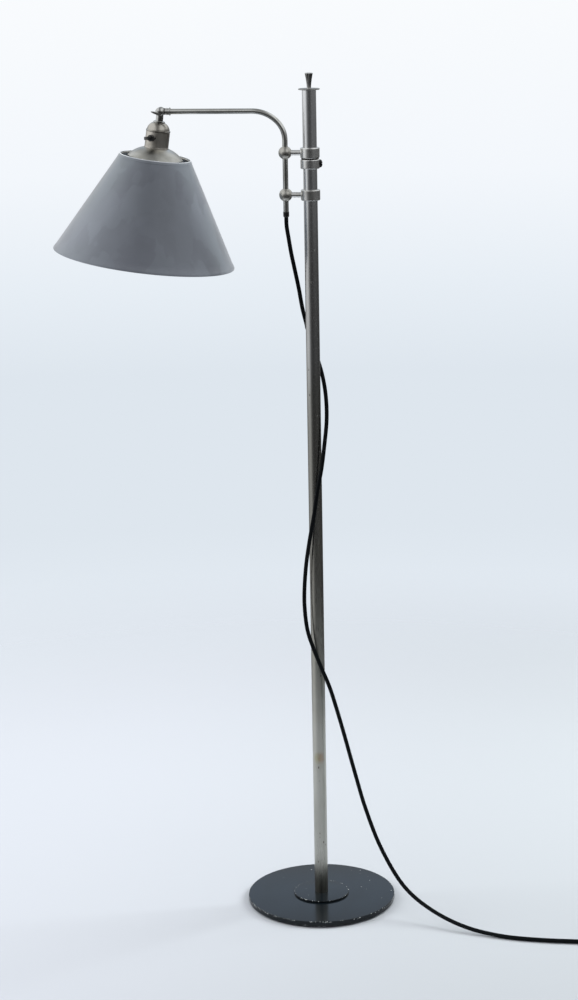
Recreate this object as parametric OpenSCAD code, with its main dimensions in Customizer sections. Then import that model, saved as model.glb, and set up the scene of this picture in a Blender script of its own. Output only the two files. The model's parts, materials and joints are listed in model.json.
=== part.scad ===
// Bridge floor lamp: a round enamelled base, a nickel pole, and a bent arm that slides and swings on the pole.
// The arm carries a switched lampholder and a conical shade on a friction knuckle, and a black cord hangs from it.
// Millimetres, +Z up. The origin is the centre of the base's underside, and the arm reaches towards -X.

/* [Base] */
// Diameter of the base plate
base_d = 246; // [200:2:300]
// Thickness of the base plate
base_t = 8.3; // [7:0.1:14]
// Chamfer on the base plate's edges
base_edge = 0.8; // [0.3:0.1:2]
// Diameter of the raised disc round the pole
boss_d = 92; // [60:1:120]
// Thickness of the raised disc
boss_t = 3; // [2:0.5:8]
// Thickness of the felt under the base
felt_t = 2; // [1:0.5:4]
// Width of bare metal left round the felt
felt_inset = 5; // [2:1:12]

/* [Base screw] */
// Shank diameter of the screw that holds the pole
base_screw_d = 10; // [8:0.5:12]
// Diameter of its countersunk head
base_head_d = 20; // [17:0.5:24]
// Height of its countersunk head
base_head_h = 5; // [4:0.5:5.5]
// Depth that it reaches into the pole's spigot
base_screw_grip = 22; // [12:1:30]
// Width across flats of its hexagon socket
base_hex = 6; // [5:0.5:7]

/* [Pole] */
// Outer diameter of the pole
pole_d = 22; // [18:0.5:26]
// Wall of the pole tube
pole_wall = 1.5; // [1:0.1:2.5]
// Length of the pole tube
pole_l = 1341; // [1250:1:1500]
// Height of the solid spigot in the pole's foot
spigot_h = 36; // [32:1:60]
// Height of the plug in the pole's head
plug_h = 20; // [14:1:40]
// Diameter of the cap disc
cap_d = 33.5; // [28:0.5:44]
// Thickness of the cap disc
cap_t = 1.8; // [1.2:0.1:4]

/* [Finial] */
// Height of the flared finial
finial_h = 24; // [16:1:40]
// Diameter of its foot
finial_foot_d = 6.1; // [5.4:0.1:9]
// Diameter of its top
finial_top_d = 12.7; // [10:0.1:18]
// Number of facets round the finial
finial_facets = 10; // [6:1:12]
// How late the flare opens towards the top
finial_flare = 1.8; // [1:0.1:3]
// Diameter of the stud under the finial
finial_stud_d = 5; // [4:0.5:5]
// Length of the stud under the cap disc
finial_stud_l = 14; // [8:1:14]

/* [Rings on the pole] */
// Outer diameter of the rings and of the stop collar
ring_d = 30.4; // [29:0.2:36]
// Height of the upper arm ring
ring_upper_h = 16.2; // [12:0.2:20]
// Height of the lower arm ring
ring_lower_h = 16.6; // [12:0.2:20]
// Height of the stop collar
collar_h = 14.5; // [13.5:0.5:20]
// Height of the middle of the stop collar above the floor
collar_z = 1236.4; // [1150:0.1:1270]
// Thickness of the fibre washer that the arm turns on
washer_t = 1.8; // [1:0.1:3]
// Diameter of the fibre washer
washer_d = 27.6; // [25:0.2:29]
// Rounding of the ring edges
ring_edge = 1.4; // [0.4:0.1:2.5]
// Distance between the middles of the two arm rings
ring_gap = 66; // [45:1:90]

/* [Stop screw] */
// Diameter of the stop screw's shank
stop_d = 6; // [4:0.5:7]
// Diameter of its domed head
stop_head_d = 12.4; // [9:0.2:13]
// Height of its domed head
stop_head_h = 4.4; // [3:0.2:8]
// Width of the slot across the head
stop_slot = 1.4; // [0.8:0.1:2]
// Direction of the stop screw round the pole, from +X towards +Y
stop_angle = 20; // [-60:5:60]

/* [Arm] */
// Distance of the balls and the arm's upright from the pole axis
arm_reach = 39.4; // [36:0.2:50]
// Diameter of the arm tube
arm_d = 8.5; // [8:0.1:10]
// Wall of the arm tube
arm_wall = 0.75; // [0.5:0.05:1]
// Height of the arm's level stretch above the upper ball
arm_rise = 64.9; // [62:0.1:110]
// Bend radius at the upright's end of the bend
bend_low_r = 41; // [30:1:60]
// Bend radius at the level end of the bend
bend_high_r = 55; // [30:1:70]
// Distance of the knuckle's pivot from the pole axis
pivot_reach = 237; // [190:1:320]
// Length of the tube below the lower ball's middle
arm_tail = 26.8; // [18:0.1:60]
// Diameter of the balls
ball_d = 21; // [18:0.5:24]
// Diameter of the stubs between the balls and the rings
stub_d = 8.6; // [6:0.2:9]
// Diameter of the stubs' turned ends
stub_pin_d = 5; // [3:0.2:5.4]
// Diameter of the grub screws that grip the tube in the balls
grub_d = 4; // [3:0.5:5]

/* [Knuckle] */
// Diameter of the knuckle's two discs
disc_d = 14; // [12:0.5:15]
// Thickness of each disc
disc_t = 5.5; // [4:0.5:8]
// Rounding of the discs' rims
disc_edge = 1.3; // [0.3:0.1:1.8]
// Diameter of the neck that the arm's disc grows from
neck_d = 10.2; // [10:0.1:12]
// Diameter of the neck that the head's disc grows from
hub_neck_d = 11.6; // [10:0.1:12]
// Thickness of the friction washer between the discs
friction_t = 1; // [0.4:0.1:1.2]
// Width of the turned groove in the arm's neck, beside its disc
groove_w = 1.3; // [0.6:0.1:2]
// Depth of that groove
groove_in = 1; // [0.3:0.1:1.5]
// Width of the rib between the groove and the bead
rib_w = 1.4; // [0.8:0.1:1.6]
// Diameter of the bead where the tube enters the knuckle
bead_d = 12.5; // [12:0.1:15]
// Width of that bead
bead_w = 1.6; // [1:0.1:3]
// Distance from the pivot to the end of the arm tube's socket
ferrule_l = 15.9; // [14:0.1:24]
// Diameter of the clamping screw
clamp_d = 5; // [4:0.2:6]
// Diameter of the clamping screw's domed head
clamp_head_d = 12.4; // [9:0.2:13]
// Height of that head
clamp_head_h = 5; // [3:0.2:8]
// Length of the thumb lever
lever_l = 17.4; // [12:0.2:19]
// Thickness of the thumb lever
lever_t = 3.2; // [2:0.1:4]
// Depth of the thumb lever along the screw
lever_w = 6.4; // [4:0.2:9]
// Slope of the thumb lever, its free end up
lever_tilt = 19; // [0:1:30]
// Tilt of the shade and its holder from the upright
head_tilt = 8.3; // [0:0.1:20]

/* [Lampholder] */
// Distance from the pivot to the top of the holder's cap
holder_top = 16.8; // [15.5:0.1:24]
// Diameter of the flange above the cap
flange_d = 18.6; // [14:0.2:26]
// Thickness of the flange
flange_t = 2.2; // [1.4:0.1:3]
// Diameter of the lampholder
holder_d = 37.8; // [36.6:0.2:44]
// Height of the domed cap
holder_cap_h = 14.2; // [12:0.2:20]
// Height of the shell below the cap
holder_shell_h = 26.4; // [24:0.2:40]
// How far the bead round the cap's lower rim stands out
cap_bead = 0.5; // [0.3:0.1:1]
// Height of that bead
cap_bead_h = 2.2; // [1.2:0.1:4]
// Wall of the cap and the shell
holder_wall = 0.8; // [0.5:0.1:1.2]
// Diameter of the threaded nipple in the cap
nipple_d = 10; // [8.6:0.2:11]
// Bore of the nipple
nipple_bore = 6.4; // [4:0.2:7]
// Length of the nipple below the cap's top
nipple_l = 8; // [6:0.5:10]
// Outer diameter of the insulating core's skirt
skirt_d = 34.4; // [33.8:0.2:36]
// Length of the skirt below the shell
skirt_l = 20; // [15:1:26]
// Bore of the core, round the screw shell
core_bore = 28.6; // [28.2:0.1:30]

/* [Switch key] */
// Distance of the key below the cap's seam
key_drop = 10; // [9.5:0.5:14]
// Direction of the key, from -Y towards -X
key_angle = 18; // [-90:1:90]
// Diameter of the key's spindle
key_spindle_d = 5; // [4:0.2:6]
// Diameter of the bush round the spindle
key_bush_d = 10.6; // [8:0.2:11]
// How far the bush stands out of the shell
key_bush_out = 3.4; // [2:0.2:6]
// Length of the key's wings from tip to tip
key_wing_l = 19; // [12:0.5:22]
// Diameter of the rounded tips of the wings
key_wing_t = 5; // [4:0.2:7]
// Thickness of the wings between their tips
key_web_t = 3.6; // [2:0.2:5]
// How far the wings reach along the spindle
key_wing_w = 9; // [6:0.5:14]
// Turn of the wings from level
key_turn = -10; // [-90:5:90]

/* [Shade] */
// Radius of the shade's top edge
shade_top_r = 56.2; // [52:0.2:80]
// Radius of the shade's bottom edge
shade_low_r = 145.5; // [110:0.5:180]
// Distance from the pivot to the shade's top edge
shade_top_h = 71; // [68:0.5:90]
// Height of the shade along its axis
shade_h = 163; // [110:1:220]
// Thickness of the shade's wall
shade_wall = 1.1; // [0.6:0.1:2]
// Diameter of the ring wires in the shade
ring_wire_d = 3; // [2:0.2:4]
// Diameter of the wires that carry the shade
spoke_d = 2.4; // [2:0.1:3]
// Number of those wires
spokes = 3; // [3:1:6]
// Outer radius of the domed fitter over the shade's opening
dome_r = 44; // [34:0.5:48]
// Radius of the curve of the domed fitter
dome_curve = 50; // [45:1:80]
// Slope of the fitter where it leaves the holder
dome_slope = 16; // [6:1:22]
// Width of the fitter's upright rim
dome_rim = 1.5; // [1:0.1:4]
// Wall of the domed fitter
dome_wall = 0.8; // [0.5:0.1:1.2]
// Height of the ring nut that clamps the shade
nut_h = 6.5; // [4:0.5:9]

/* [Bulb] */
// Diameter of the bulb's globe
bulb_d = 60; // [45:1:68]
// Length of the glass below the bulb's cap
bulb_glass_l = 81; // [70:1:95]
// Diameter of the bulb's screw cap
bulb_cap_d = 26.4; // [25:0.1:26.6]
// Height of the bulb's screw cap
bulb_cap_h = 22; // [18:0.5:24]
// Wall of the glass
bulb_wall = 1; // [0.6:0.1:1.5]

/* [Cord and plug] */
// Diameter of the cord
cord_d = 6.6; // [5:0.1:6.8]
// Diameter of the black bushing at the arm's lower end
bushing_d = 9.5; // [9:0.1:12]
// Length of the bushing below the tube
bushing_l = 8; // [6:0.5:14]
// Gap left between neighbouring turns of the coil
coil_gap = 0.5; // [0.45:0.05:1.5]
// Radius of the coil's outer turn
coil_r = 45; // [44:1:60]
// Whole turns in the coil, besides its last quarter
coil_turns = 5; // [2:1:5]
// Length of the tapered strain relief on the plug
relief_l = 28; // [20:1:50]
// Length of the plug's body
plug_l = 34; // [28:1:45]
// Width of the plug's body
plug_w = 36; // [32:1:42]
// Diameter of the plug's pins
pin_d = 4.8; // [4:0.1:4.8]
// Free length of the pins
pin_l = 19; // [17:0.5:21]
// Distance between the pins
pin_gap = 19; // [18:0.5:20]

/* [Hidden] */
$fn = 96;

// Colours
enamel = [0.20, 0.23, 0.27];
turned_steel = [0.62, 0.62, 0.60];
nickel = [0.60, 0.59, 0.56];
dark_nickel = [0.52, 0.51, 0.49];
pale_nickel = [0.66, 0.65, 0.61];
rubber = [0.07, 0.07, 0.08];
phenolic = [0.08, 0.08, 0.08];
brass = [0.72, 0.60, 0.30];
tinned_wire = [0.55, 0.54, 0.50];

// Clearances
fit = 0.05;          // running or sliding fit, on the radius
seat = 0.1;          // gap between flat faces of pieces that turn on each other
arc_steps = 8;       // straight pieces in a small rounded edge
cut = 1;             // how far a cut runs past the face that it opens
head_rim = 0.28;     // share of a domed head's height that its upright rim takes

// Base and pole heights
plate_z = felt_t;
plate_top = plate_z + base_t;
boss_top = plate_top + boss_t;
pole_r = pole_d / 2;
bore_r = pole_r - pole_wall;
pole_top = plate_top + pole_l;
cap_top = pole_top + cap_t;
finial_stud_r = finial_stud_d / 2;
base_screw_r = base_screw_d / 2;
hex_depth = 0.6 * base_head_h;
screw_room = 3;      // room left past the base screw's end
cap_edge = 0.4 * cap_t;
finial_rim = 1;      // height of the upright rim at the finial's top

// Rings
ring_r = ring_d / 2;
ring_bore_r = pole_r + fit;
collar_top = collar_z + collar_h / 2;
upper_low = collar_top + washer_t + 2 * seat;
upper_z = upper_low + ring_upper_h / 2;
lower_z = upper_z - ring_gap;

// Stop screw
stop_r = stop_d / 2;
stop_head_r = stop_head_d / 2;
stop_seat = ring_r + seat;
stop_slot_low = 0.55 * stop_head_h;

// Arm
arm_r = arm_d / 2;
arm_bore_r = arm_r - arm_wall;
arm_z = upper_z + arm_rise;
bend_turn = 45;
bend_z = arm_z - bend_low_r * sin(bend_turn) - bend_high_r * (1 - sin(bend_turn));
bend_low_x = -arm_reach - bend_low_r;
bend_shift_x = (bend_low_r - bend_high_r) * cos(bend_turn);
bend_shift_z = (bend_low_r - bend_high_r) * sin(bend_turn);
arm_foot = lower_z - arm_tail;
lead_d = 2.2;
lead_side = 1.3;     // each lead's distance from the tube's centre line
ball_r = ball_d / 2;
stub_r = stub_d / 2;
stub_pin_r = stub_pin_d / 2;
stub_seat = 0.7;     // depth of the stub's shoulders in the ball and the ring
stub_pin_l = 2.6;
stub_in = -(ring_r - stub_seat);
stub_out = -(arm_reach - ball_r + stub_seat + stub_r * stub_r / ball_d);
grub_r = grub_d / 2;
grub_l = 5;

// Knuckle
disc_r = disc_d / 2;
disc_gap = friction_t / 2 + fit;
neck_r = neck_d / 2;
hub_neck_r = hub_neck_d / 2;
neck_clear = 1.4;    // from a disc's rim to where the other half's neck becomes whole
neck_start = disc_r + neck_clear;
rib_x = neck_start + groove_w;
rib_out = 0.5;
rib_edge = 0.5;
tube_grip = ferrule_l - rib_x - 1;    // depth of the arm tube in the knuckle, short of the groove
tube_end_x = -pivot_reach + ferrule_l - tube_grip;
washer_inset = 1.1;
clamp_r = clamp_d / 2;
clamp_face = -(disc_gap + disc_t + seat);
lever_x = -4.8;
lever_z = -1.9;
clamp_end = 1.2;     // how far the clamping screw stands out behind
lever_sink = 0.6;    // depth of the lever's root in front of the screw's face
flange_edge = 1.2;

// Lampholder, as distances below the pivot
holder_r = holder_d / 2;
cap_r = holder_r - 0.6;       // the dome ends a little inside the shell's radius
cap_round = holder_cap_h + 0.8;
nut_t = 3;
seam_h = holder_top + holder_cap_h;
shell_gap = 0.15;
shell_top = seam_h + shell_gap;
shell_low = seam_h + holder_shell_h;
shell_lap = 1.4;     // height of the shell's step inside the cap
shell_edge = 0.4;
foot_bead = 0.5;     // the rolled bead at the shell's foot
foot_bead_h = 1.2;
core_r = holder_r - holder_wall - 0.4;
core_top = shell_top + 2 * holder_wall + seat;
core_edge = 1;
skirt_r = skirt_d / 2;
skirt_low = shell_low + skirt_l;
core_bore_r = core_bore / 2;
core_floor = shell_low - 7.5;
nipple_r = nipple_d / 2;
cavity_pad = 0.2;
contact_wall = 0.4;
contact_r = core_bore_r - 0.1;
contact_top = core_floor + 2;
contact_low = skirt_low - 3;
lead_hole = 6;       // the lead holes' distance from the core's two middle planes
leaf_l = 15;         // the springy leaf under the bulb's tip
leaf_w = 6;
leaf_t = 0.6;
leaf_dip = 1.2;

// Switch key, measured outwards from the holder's axis
key_h = seam_h + key_drop;
key_bush_r = key_bush_d / 2;
key_spindle_r = key_spindle_d / 2;
key_root = 11;
key_out = holder_r + key_bush_out;
key_wing_round = 0.58 * key_wing_l;
key_hub_r = key_wing_t / 2 + 0.6;
key_hub_l = 0.8 * key_wing_w;

// Domed fitter, nut and shade carrier
fitter_top = shell_low + 0.1;
flat_r = holder_r + 1.4;
dome_sin = sin(dome_slope) + (dome_r - flat_r) / dome_curve;
dome_end = asin(dome_sin);
dome_drop = dome_curve * (cos(dome_slope) - cos(dome_end));
hub_h = 3;
hub_top = fitter_top + dome_wall + seat;
hub_r = flat_r - 0.2;
nut_top = hub_top + hub_h + seat;
nut_r = skirt_r + 2.4;
nut_edge = 0.6;
spoke_r = spoke_d / 2;
spoke_root_r = nut_r - spoke_r / 2;
spoke_root_h = hub_top + hub_h / 2 - 0.4 * spoke_r;
spoke_bend_ball = spoke_r + 0.2;
spoke_low = fitter_top + dome_drop + dome_rim + spoke_r + 1.6;
spoke_bend_r = dome_r - 4;
wire_r = ring_wire_d / 2;

// Shade
shade_low_h = shade_top_h + shade_h;
shade_half = atan((shade_low_r - shade_top_r) / shade_h);
wall_across = shade_wall / cos(shade_half);
wire_across = (wire_r + 0.2) / cos(shade_half);
top_ring_h = max(shade_top_h + wire_r + 1, spoke_low - 4);
low_ring_h = shade_low_h - wire_r - 1;
function shade_inner(h) = shade_top_r + (h - shade_top_h) * tan(shade_half) - wall_across;
top_ring_r = shade_inner(top_ring_h) - wire_across;
low_ring_r = shade_inner(low_ring_h) - wire_across;

// Bulb
bulb_r = bulb_d / 2;
bulb_cap_r = bulb_cap_d / 2;
bulb_tip = core_floor + 2;
bulb_tip_h = 5.5;
bulb_cap_top = bulb_tip + bulb_tip_h;
bulb_neck = bulb_cap_top + bulb_cap_h;
bulb_neck_r = bulb_cap_r - 0.6;
bulb_tip_r = 5;
bulb_cone_r = bulb_cap_r - 2.5;
bulb_edge = 0.6;
bulb_z = bulb_neck + bulb_glass_l - bulb_r;
bulb_far = norm([bulb_neck_r, bulb_z - bulb_neck]);
bulb_turn = atan(bulb_neck_r / (bulb_z - bulb_neck)) + acos(bulb_r / bulb_far);

// Cord: the route from the bushing down to the place where the arm's twist ends, and on to the coil.
cord_r = cord_d / 2;
bushing_low = arm_foot - bushing_l;
bushing_edge = 0.9;
bushing_grip = 6;    // depth of the bushing in the tube
bushing_lip = 0.3;   // least wall of the bushing's end
route_upper = [[-39, 0, 1138], [-36, -2, 1120], [-32, -3, 1096], [-27, 0, 1068], [-22, 5, 1038],
               [-18, 12, 1006]];
split = [-12, 18, 974];
route_lower = [[-1, 20, 938], [11, 17, 900], [18, 10, 864], [20, 2, 826], [17, -7, 786], [13, -14, 750],
               [6, -18, 712], [0, -19, 672], [-8, -17, 630], [-15, -12, 588], [-19, -9, 546], [-19, -10, 512],
               [-14, -15, 476], [-3, -19, 444], [9, -18, 412], [23, -15, 374], [42, -14, 306], [60, -16, 238],
               [80, -20, 169], [107, -30, 104], [146, -52, 50], [195, -80, 22], [254, -110, 8],
               [318, -129, 3.5], [380, -135, 3.5], [440, -134, 3.5]];
coil_x = 500;
coil_y = -134 + coil_r;
bushing_exit = [-arm_reach, 0, bushing_low];

// Coil: it spirals in on the floor, climbs one layer and spirals out again.
cord_sides = 8;
coil_sides = 6;
coil_z = cord_r + 0.2;
coil_step = cord_d + coil_gap;
coil_loop = 24;
coil_arc = 360 * coil_turns + 90;
coil_in = coil_r - coil_step * coil_arc / 720;
coil_high = coil_z + coil_step;
tail = cord_d;
coil_rings = coil_loop * coil_turns + coil_loop / 4;

// Plug
relief_tip_r = 4.3;
relief_root_r = 7.2;
relief_ribs = 4;
relief_groove = 0.7; // depth of the grooves between the ribs, and half of each one's rounded side
plug_shoulder = 8;   // radius of the plug's shoulders
plug_edge = 1;
plug_r = plug_w / 2;
pin_r = pin_d / 2;
pin_seat = 6;        // depth of each pin's thinner root in the plug's body
pin_root_r = pin_r - 0.4;
plug_y = coil_y + tail;

// Points on an arc round (x, y)
function arc(x, y, r, a, b, n = arc_steps) =
    [for (i = [0:n]) let (t = a + (b - a) * i / n) [x + r * cos(t), y + r * sin(t)]];
// A point on the smooth curve through b and c, at share t of the way
function smooth(a, b, c, d, t) =
    0.5 * (2 * b + (c - a) * t + (2 * a - 5 * b + 4 * c - d) * t * t + (3 * b - a - 3 * c + d) * t * t * t);
function unit(v) = v / norm(v);
// The route's points with one more between each pair, on a smooth curve
function fine_route(p, first, last) = let (n = len(p)) [
    for (i = [0:n - 2]) for (k = [0, 0.5])
        k == 0 ? p[i] : smooth(i == 0 ? 2 * p[0] - first : p[i - 1], p[i], p[i + 1],
                               i == n - 2 ? 2 * p[n - 1] - last : p[i + 2], k),
    p[n - 1]];
function total_length(p) = len(p) < 2 ? 0 : [for (i = 1, s = 0; i < len(p) + 1;
    s = s + (i < len(p) ? norm(p[i] - p[i - 1]) : 0), i = i + 1) s][len(p) - 1];

// Faces of a tube of n rings with m sides each, closed at both ends with a fan round a middle point
function tube_faces(n, m) = concat(
    [for (i = [0:n - 2], j = [0:m - 1]) each [
        [i * m + j, (i + 1) * m + j, (i + 1) * m + (j + 1) % m],
        [i * m + j, (i + 1) * m + (j + 1) % m, i * m + (j + 1) % m]]],
    [for (j = [0:m - 1]) [n * m, j, (j + 1) % m]],
    [for (j = [0:m - 1]) [n * m + 1, (n - 1) * m + (j + 1) % m, (n - 1) * m + j]]);
// Direction of travel at point i, with the ends' directions given
function travel(p, i, first, last) =
    i == 0 ? first : i == len(p) - 1 ? last : unit(p[i + 1] - p[i - 1]);
// One ring round point c, square to direction d; side is roughly where its first corner points
function ring_at(c, d, side, r, m) = let (u = unit(side - (side * d) * d), v = cross(d, u))
    [for (j = [0:m - 1]) c + r * (cos(360 * (j + 0.5) / m) * u + sin(360 * (j + 0.5) / m) * v)];
// A tube swept along points p. turned tells, for each point, which way its first corner points.
module sweep(p, r, m, first, last, sides) {
    rings = [for (i = [0:len(p) - 1]) each ring_at(p[i], travel(p, i, first, last), sides[i], r, m)];
    polyhedron(points = concat(rings, [p[0], p[len(p) - 1]]), faces = tube_faces(len(p), m), convexity = 12);
}

// A ring round the pole with rounded outer edges
module edged_ring(ro, ri, h, e) {
    rotate_extrude()
        polygon(concat([[ri, 0]], arc(ro - e, e, e, -90, 0), arc(ro - e, h - e, e, 0, 90), [[ri, h]]));
}
// A screw's domed head on +Z
module domed_head(r, h) {
    rotate_extrude() polygon(concat(
        [[0, 0], [r, 0]],
        [for (i = [0:arc_steps]) let (a = 90 * i / arc_steps)
            [r * cos(a), h * (head_rim + (1 - head_rim) * sin(a))]]));
}
// A disc on +Z with rounded rims, for the knuckle
module soft_disc(r, h, e) {
    rotate_extrude()
        polygon(concat([[0, 0]], arc(r - e, e, e, -90, 0), arc(r - e, h - e, e, 0, 90), [[0, h]]));
}
// A lens, as two equal round sides that meet in thin tips, standing on +Z
module lens(l, t, h) {
    r = (l * l + t * t) / (4 * t);
    intersection() {
        translate([0, r - t / 2, 0]) cylinder(r = r, h = h);
        translate([0, t / 2 - r, 0]) cylinder(r = r, h = h);
    }
}

module base_plate() {
    color(enamel) rotate_extrude() polygon([
        [base_screw_r + fit, plate_z + base_head_h], [base_screw_r + fit, plate_top],
        [base_d / 2 - base_edge, plate_top], [base_d / 2, plate_top - base_edge],
        [base_d / 2, plate_z + base_edge], [base_d / 2 - base_edge, plate_z],
        [base_head_d / 2 + fit, plate_z], [base_head_d / 2 + fit, plate_z + fit]]);
}
module boss_disc() {
    color(enamel) translate([0, 0, plate_top])
        rotate_extrude() polygon([
            [pole_r + fit, 0], [boss_d / 2, 0], [boss_d / 2, boss_t - base_edge / 2],
            [boss_d / 2 - base_edge / 2, boss_t], [pole_r + fit, boss_t]]);
}
module felt_pad() {
    color([0.12, 0.14, 0.13]) cylinder(r = base_d / 2 - felt_inset, h = felt_t);
}
module pole_spigot() {
    color(turned_steel) translate([0, 0, plate_top]) difference() {
        cylinder(r = bore_r - fit, h = spigot_h);
        translate([0, 0, -cut]) cylinder(r = base_screw_r + fit, h = base_screw_grip + screw_room + cut);
    }
}
module base_screw() {
    color([0.45, 0.45, 0.44]) difference() {
        union() {
            translate([0, 0, plate_z]) cylinder(r1 = base_head_d / 2, r2 = base_screw_r, h = base_head_h);
            translate([0, 0, plate_z + base_head_h])
                cylinder(r = base_screw_r, h = base_t - base_head_h + base_screw_grip);
        }
        translate([0, 0, plate_z - cut]) cylinder(d = base_hex / cos(30), h = cut + hex_depth, $fn = 6);
    }
}
module pole() {
    color(nickel) translate([0, 0, plate_top]) difference() {
        cylinder(r = pole_r, h = pole_l);
        translate([0, 0, -cut]) cylinder(r = bore_r, h = pole_l + 2 * cut);
    }
}
module pole_top_plug() {
    color(turned_steel) translate([0, 0, pole_top - plug_h]) difference() {
        cylinder(r = bore_r - fit, h = plug_h);
        translate([0, 0, -cut]) cylinder(r = finial_stud_r + fit, h = plug_h + 2 * cut);
    }
}
module cap_disc() {
    color(nickel) translate([0, 0, pole_top])
        edged_ring(cap_d / 2, finial_stud_r + fit, cap_t, cap_edge);
}
module finial() {
    color([0.50, 0.49, 0.47]) {
        translate([0, 0, cap_top]) rotate_extrude($fn = finial_facets) polygon(concat(
            [[0, 0]],
            [for (i = [0:arc_steps]) let (t = i / arc_steps)
                [(finial_foot_d + (finial_top_d - finial_foot_d) * pow(t, finial_flare)) / 2,
                 t * (finial_h - finial_rim)]],
            [[finial_top_d / 2, finial_h], [0, finial_h]]));
        translate([0, 0, cap_top - cap_t - finial_stud_l])
            cylinder(r = finial_stud_r, h = cap_t + finial_stud_l + finial_rim);
    }
}

module stop_collar() {
    color(nickel) difference() {
        translate([0, 0, collar_z - collar_h / 2]) edged_ring(ring_r, ring_bore_r, collar_h, ring_edge);
        translate([0, 0, collar_z]) rotate([0, 90, stop_angle]) cylinder(r = stop_r + fit, h = ring_r + cut);
    }
}
module stop_screw() {
    color([0.12, 0.12, 0.12]) translate([0, 0, collar_z]) rotate([0, 90, stop_angle]) difference() {
        union() {
            translate([0, 0, pole_r + seat]) cylinder(r = stop_r, h = stop_seat - pole_r);
            translate([0, 0, stop_seat]) domed_head(stop_head_r, stop_head_h);
        }
        translate([-stop_slot / 2, -stop_head_d, stop_seat + stop_slot_low])
            cube([stop_slot, 2 * stop_head_d, stop_head_h]);
    }
}
module fibre_washer() {
    color([0.15, 0.13, 0.12]) translate([0, 0, collar_top + seat]) difference() {
        cylinder(d = washer_d, h = washer_t);
        translate([0, 0, -cut]) cylinder(r = ring_bore_r + fit, h = washer_t + 2 * cut);
    }
}

// A ring of the arm at height z, with the seat for its stub
module arm_ring(z, h) {
    color(nickel) difference() {
        translate([0, 0, z - h / 2]) edged_ring(ring_r, ring_bore_r, h, ring_edge);
        translate([-ring_r - cut, 0, z]) rotate([0, 90, 0]) cylinder(r = stub_r + fit, h = cut + stub_seat);
        translate([-ring_r - cut, 0, z]) rotate([0, 90, 0]) cylinder(r = stub_pin_r + fit, h = ring_r);
    }
}
module ring_upper() arm_ring(upper_z, ring_upper_h);
module ring_lower() arm_ring(lower_z, ring_lower_h);
module stub(z) {
    color(nickel) translate([0, 0, z]) rotate([0, -90, 0]) {
        translate([0, 0, -stub_in]) cylinder(r = stub_r, h = stub_in - stub_out);
        translate([0, 0, -stub_in - stub_pin_l])
            cylinder(r = stub_pin_r, h = stub_in - stub_out + 2 * stub_pin_l);
    }
}
module stub_upper() stub(upper_z);
module stub_lower() stub(lower_z);
module ball(z) {
    color(nickel) translate([-arm_reach, 0, z]) difference() {
        sphere(r = ball_r);
        translate([0, 0, -ball_r - cut]) cylinder(r = arm_r + fit, h = ball_d + 2 * cut);
        translate([arm_reach + stub_out, 0, 0]) rotate([0, 90, 0]) cylinder(r = stub_r + fit, h = ball_r);
        translate([arm_reach + stub_out - stub_pin_l - seat, 0, 0]) rotate([0, 90, 0])
            cylinder(r = stub_pin_r + fit, h = ball_r);
        rotate([-90, 0, 0]) cylinder(r = grub_r + fit, h = ball_r + cut);
    }
}
module ball_upper() ball(upper_z);
module ball_lower() ball(lower_z);
module grub_screws() {
    color([0.30, 0.30, 0.30]) for (z = [upper_z, lower_z])
        translate([-arm_reach, arm_r + seat, z]) rotate([-90, 0, 0]) difference() {
            cylinder(r = grub_r, h = grub_l);
            translate([0, 0, grub_l / 2]) cylinder(r = grub_r / 2, h = grub_l, $fn = 6);
        }
}

// The arm's bent path, from height low to the level stretch's end at x, with the child as its cross-section.
// Each stretch is drawn from the bend outwards, so that they meet exactly.
module arm_run(low, x) {
    translate([bend_low_x, 0, bend_z]) rotate([90, 0, 0]) {
        translate([bend_low_r, 0, 0]) rotate([90, 0, 0]) linear_extrude(bend_z - low) children();
        rotate_extrude(angle = bend_turn) translate([bend_low_r, 0]) children();
        translate([bend_shift_x, bend_shift_z, 0]) {
            rotate_extrude(angle = 90 - bend_turn, start = bend_turn) translate([bend_high_r, 0]) children();
            translate([0, bend_high_r, 0]) rotate([0, -90, 0])
                linear_extrude(bend_low_x + bend_shift_x - x) children();
        }
    }
}
module arm_tube() {
    color(nickel) arm_run(arm_foot, tube_end_x + seat) difference() {
        circle(r = arm_r);
        circle(r = arm_bore_r);
    }
}
module arm_leads() {
    color([0.55, 0.35, 0.20]) for (s = [-1, 1])
        translate([0, s * lead_side, 0]) arm_run(bushing_low + seat, tube_end_x + 2 * seat) circle(d = lead_d);
}
module cord_bushing() {
    color(phenolic) translate([-arm_reach, 0, bushing_low]) rotate_extrude() polygon([
        [cord_r + fit, 0], [bushing_d / 2 - bushing_edge, 0], [bushing_d / 2, bushing_edge],
        [bushing_d / 2, bushing_l], [arm_bore_r - fit, bushing_l], [arm_bore_r - fit, bushing_l + bushing_grip],
        [arm_bore_r - bushing_lip, bushing_l + bushing_grip],
        [lead_side + lead_d / 2 + bushing_lip, bushing_l]]);
}

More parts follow.
